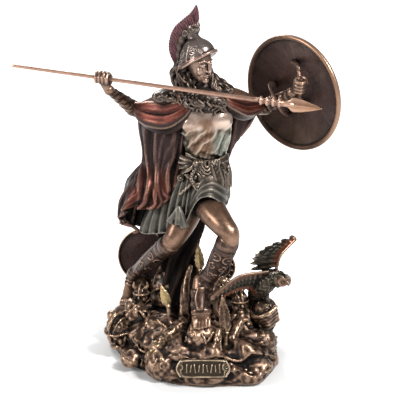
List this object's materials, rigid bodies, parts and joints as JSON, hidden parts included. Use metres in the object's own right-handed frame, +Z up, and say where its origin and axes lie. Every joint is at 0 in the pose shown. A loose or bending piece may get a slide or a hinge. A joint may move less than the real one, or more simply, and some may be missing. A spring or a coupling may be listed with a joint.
{
  "type": "warrior goddess statuette",
  "caption": "Bronze-finished resin statuette of a helmeted warrior goddess with shield and levelled spear, striding over a heap of trophies beside an owl.",
  "frame": {"origin": "middle of the plinth's flat underside", "axes": "+Z up from the underside to the crest, -Y towards the viewer of the picture, +X towards the goddess's left, which carries the shield"},
  "size_m": [0.168, 0.0841, 0.19],
  "materials": {
    "plinth_bronze": "cold-cast resin, dark bronze dry-brushed with copper",
    "figure_bronze": "cold-cast resin, bronze with red, teal and silver washes",
    "shield_bronze": "cold-cast resin, dark brown bronze with a copper rim",
    "spear_bronze": "cold-cast resin, rosy copper",
    "owl_bronze": "cold-cast resin, green-black bronze with copper feather edges"
  },
  "bodies": {
    "root": {"plinth": "plinth_bronze", "goddess": "figure_bronze", "shield": "shield_bronze", "spear": "spear_bronze", "owl": "owl_bronze"}
  },
  "joints": []
}
